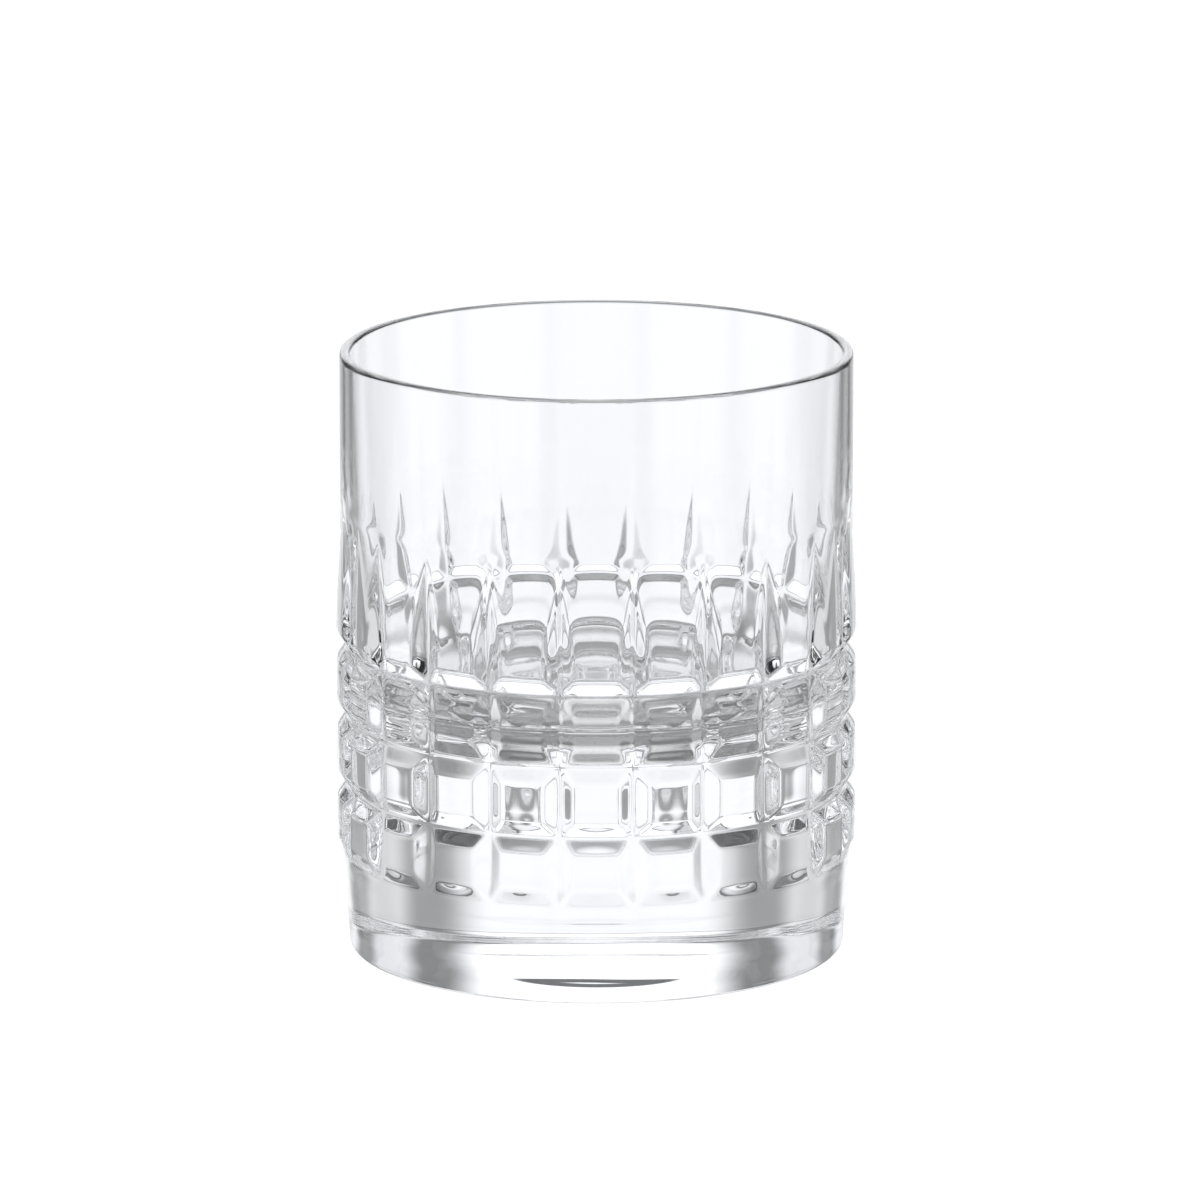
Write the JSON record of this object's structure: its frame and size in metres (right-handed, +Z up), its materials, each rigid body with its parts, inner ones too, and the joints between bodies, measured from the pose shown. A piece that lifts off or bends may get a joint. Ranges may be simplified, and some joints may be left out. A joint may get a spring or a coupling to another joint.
{
  "type": "whiskey tumbler",
  "caption": "Pressed glass tumbler with a thick solid base, a band of square studs that runs up into tapering flutes, and a plain wall with a rounded rim.",
  "frame": {"origin": "middle of the flat underside, where the glass rests", "axes": "+Z up along the glass's own axis; -Y is the front, with a column of studs facing it; +X to the right seen from the front"},
  "size_m": [0.0876, 0.0878, 0.1025],
  "materials": {
    "clear_glass": "clear pressed crystal glass, fire polished, colourless"
  },
  "bodies": {
    "root": {"tumbler": "clear_glass"}
  },
  "joints": []
}
